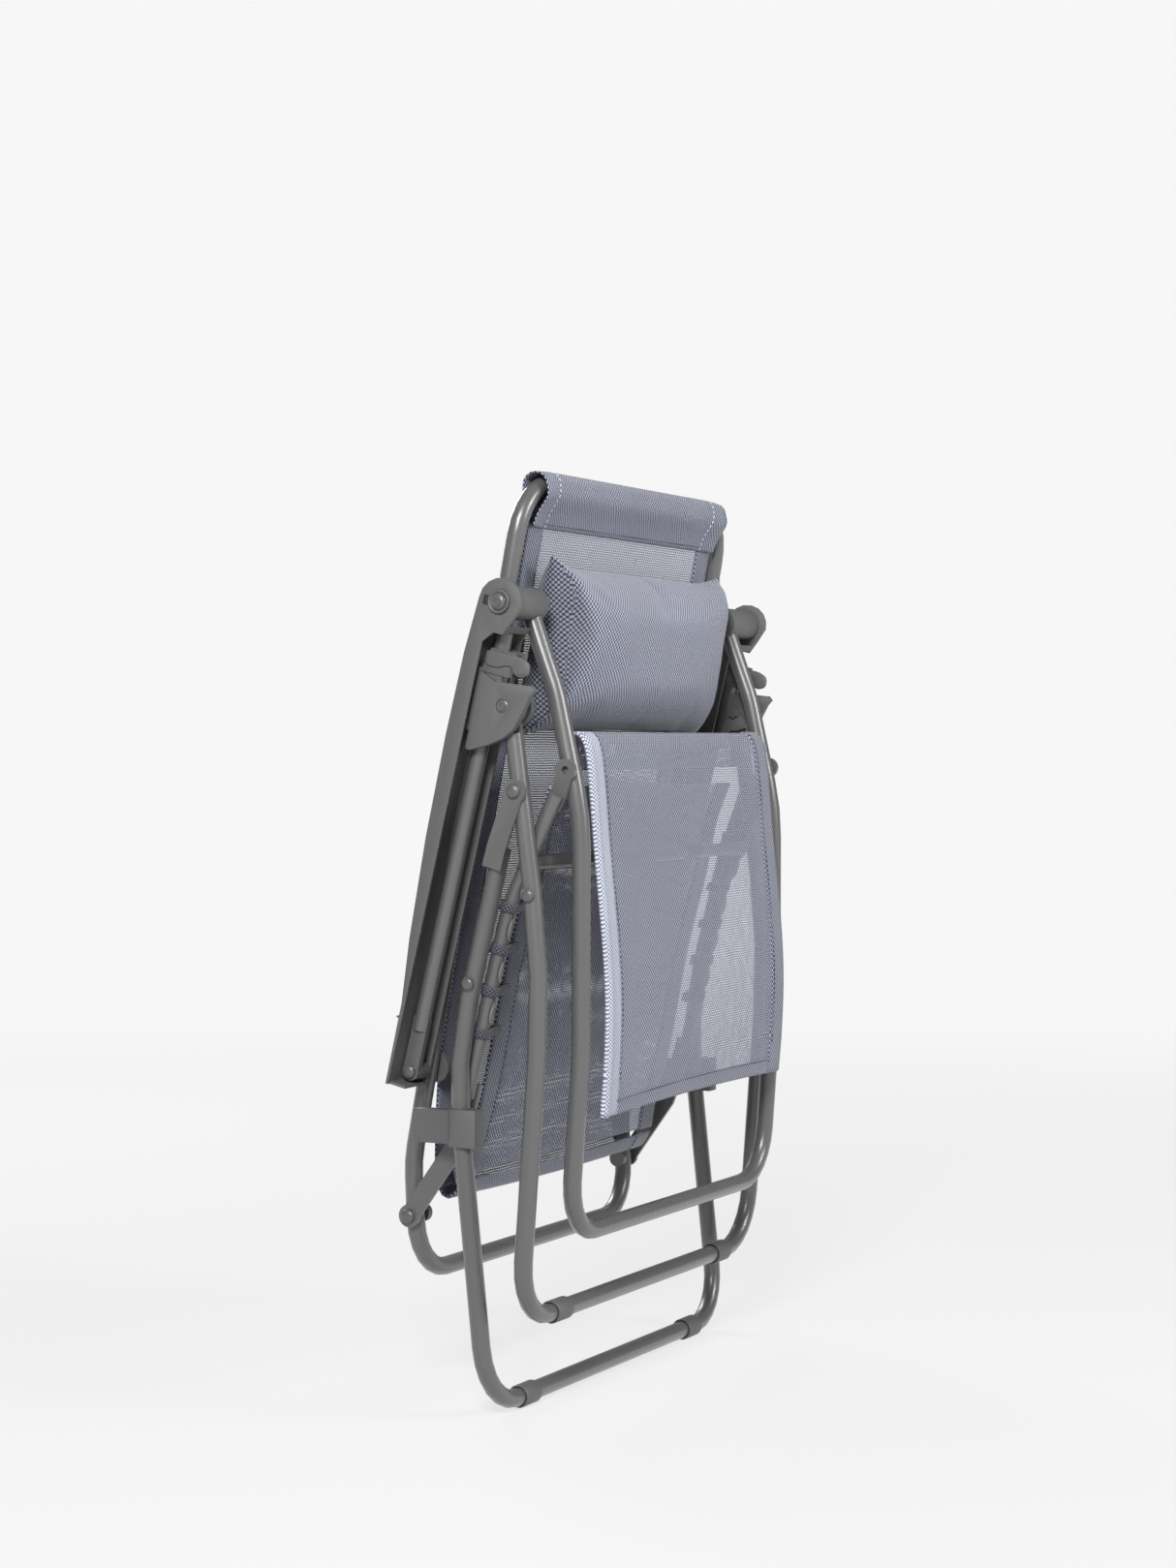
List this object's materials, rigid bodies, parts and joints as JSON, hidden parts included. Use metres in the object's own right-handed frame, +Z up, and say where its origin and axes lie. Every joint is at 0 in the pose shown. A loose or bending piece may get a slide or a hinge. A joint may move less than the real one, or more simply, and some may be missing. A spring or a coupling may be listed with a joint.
{
  "type": "folding lounge chair",
  "caption": "Folding zero-gravity lounge chair, standing folded: coated tube frames, sliding armrests with clamp levers, laced mesh sling and a padded headrest.",
  "frame": {"origin": "on the floor, under the middle of the folded chair", "axes": "+Z up, +X to the chair's right across its width, -Y the side that the legrest faces"},
  "size_m": [0.6626, 0.2346, 1.0118],
  "materials": {
    "coated_steel": "satin powder coat, warm grey",
    "moulded_plastic": "matte, lightly grained",
    "fixings": "satin",
    "mesh_fabric": "coated open weave, pale grey and dark blue threads",
    "padded_fabric": "coated weave over foam"
  },
  "bodies": {
    "front_leg": {"front_leg_frame": "coated_steel", "leg_rivet_left": "fixings", "seat_bolt_left": "fixings", "foot_front_left": "moulded_plastic", "leg_rivet_right": "fixings", "seat_bolt_right": "fixings", "foot_front_right": "moulded_plastic"},
    "rear_leg": {"rear_leg_frame": "coated_steel", "rear_leg_rivet_left": "fixings", "collar_left": "moulded_plastic", "foot_rear_left": "moulded_plastic", "rear_leg_rivet_right": "fixings", "collar_right": "moulded_plastic", "foot_rear_right": "moulded_plastic"},
    "clamp_left": {"clamp_block_left": "moulded_plastic", "block_bolt_left": "fixings"},
    "clamp_right": {"clamp_block_right": "moulded_plastic", "block_bolt_right": "fixings"},
    "lever_left": {"lock_lever_left": "moulded_plastic"},
    "lever_right": {"lock_lever_right": "moulded_plastic"},
    "arm_left": {"armrest_left": "moulded_plastic", "guide_tube_left": "coated_steel", "head_bolt_left": "fixings"},
    "arm_right": {"armrest_right": "moulded_plastic", "guide_tube_right": "coated_steel", "head_bolt_right": "fixings"},
    "back_pin": {"arm_rivet_left": "fixings", "arm_rivet_right": "fixings"},
    "knuckle_l": {"knuckle_left": "moulded_plastic"},
    "knuckle_r": {"knuckle_right": "moulded_plastic"},
    "backrest": {"backrest_hoop": "coated_steel", "hip_hoop": "coated_steel", "back_panel": "mesh_fabric", "top_sleeve": "mesh_fabric", "headrest_cushion": "padded_fabric"},
    "legrest": {"legrest_frame": "coated_steel", "legrest_panel": "mesh_fabric", "knee_bolt_left": "fixings", "knee_bolt_right": "fixings"},
    "hip_pin": {"hip_rivet_left": "fixings", "hip_rivet_right": "fixings"},
    "seat": {"seat_rail_left": "coated_steel", "seat_rail_right": "coated_steel", "seat_cross_tube": "coated_steel", "seat_panel": "mesh_fabric"}
  },
  "joints": [
    {"name": "unfold", "type": "hinge", "parent": "front_leg", "child": "clamp_left", "pos_m": [-0.3, -0.03283, 0.757], "axis": [1, 0, 0], "range_deg": [0, 105]},
    {"name": "clamp_right_turn", "type": "hinge", "parent": "front_leg", "child": "clamp_right", "pos_m": [0.3, -0.03283, 0.757], "axis": [1, 0, 0], "range_deg": [0, 105.01]},
    {"name": "legs_spread", "type": "hinge", "parent": "front_leg", "child": "rear_leg", "pos_m": [0, -0.04383, 0.668], "axis": [1, 0, 0], "range_deg": [0, 66.01]},
    {"name": "arm_left_slide", "type": "slide", "parent": "clamp_left", "child": "arm_left", "axis": [0, 0.2357, -0.9718], "range_m": [0, 0.01401]},
    {"name": "arm_right_slide", "type": "slide", "parent": "clamp_right", "child": "arm_right", "axis": [0, 0.2357, -0.9718], "range_m": [0, 0.01401]},
    {"name": "back_opens", "type": "hinge", "parent": "arm_left", "child": "back_pin", "pos_m": [-0.3, 0.08717, 0.367], "axis": [1, 0, 0], "range_deg": [-124.51, 0]},
    {"name": "recline", "type": "hinge", "parent": "back_pin", "child": "backrest", "pos_m": [0, 0.08717, 0.367], "axis": [1, 0, 0], "range_deg": [-30, 0]},
    {"name": "knuckle_left_turn", "type": "hinge", "parent": "arm_left", "child": "knuckle_l", "pos_m": [-0.3, -0.03383, 0.866], "axis": [1, 0, 0], "range_deg": [-101.01, 0]},
    {"name": "knuckle_right_turn", "type": "hinge", "parent": "arm_right", "child": "knuckle_r", "pos_m": [0.3, -0.03383, 0.866], "axis": [1, 0, 0], "range_deg": [-101.01, 0]},
    {"name": "legrest_lifts", "type": "hinge", "parent": "knuckle_l", "child": "legrest", "pos_m": [0, -0.03383, 0.866], "axis": [1, 0, 0], "range_deg": [-24.01, 0]},
    {"name": "seat_opens", "type": "hinge", "parent": "backrest", "child": "hip_pin", "pos_m": [-0.275, 0.10477, 0.207], "axis": [1, 0, 0], "range_deg": [0, 120.01]},
    {"name": "seat_levels", "type": "hinge", "parent": "hip_pin", "child": "seat", "pos_m": [0, 0.10477, 0.207], "axis": [1, 0, 0], "range_deg": [0, 30.01]},
    {"name": "lever_left_turn", "type": "hinge", "parent": "clamp_left", "child": "lever_left", "pos_m": [-0.3, -0.03736, 0.80735], "axis": [1, 0, 0], "range_deg": [-40, 0]},
    {"name": "lever_right_turn", "type": "hinge", "parent": "clamp_right", "child": "lever_right", "pos_m": [0.3, -0.03736, 0.80735], "axis": [1, 0, 0], "range_deg": [-40, 0]}
  ],
  "couplings": [
    {"joint": "clamp_right_turn", "follows": "unfold", "ratio": 1},
    {"joint": "legs_spread", "follows": "unfold", "ratio": 0.62857},
    {"joint": "back_opens", "follows": "unfold", "ratio": -1.1857},
    {"joint": "knuckle_left_turn", "follows": "unfold", "ratio": -0.96191},
    {"joint": "knuckle_right_turn", "follows": "unfold", "ratio": -0.96191},
    {"joint": "seat_opens", "follows": "unfold", "ratio": 1.1429},
    {"joint": "arm_left_slide", "follows": "recline", "m_per_rad": -0.026737},
    {"joint": "arm_right_slide", "follows": "recline", "m_per_rad": -0.026737},
    {"joint": "legrest_lifts", "follows": "recline", "ratio": 0.8},
    {"joint": "seat_levels", "follows": "recline", "ratio": -1}
  ]
}
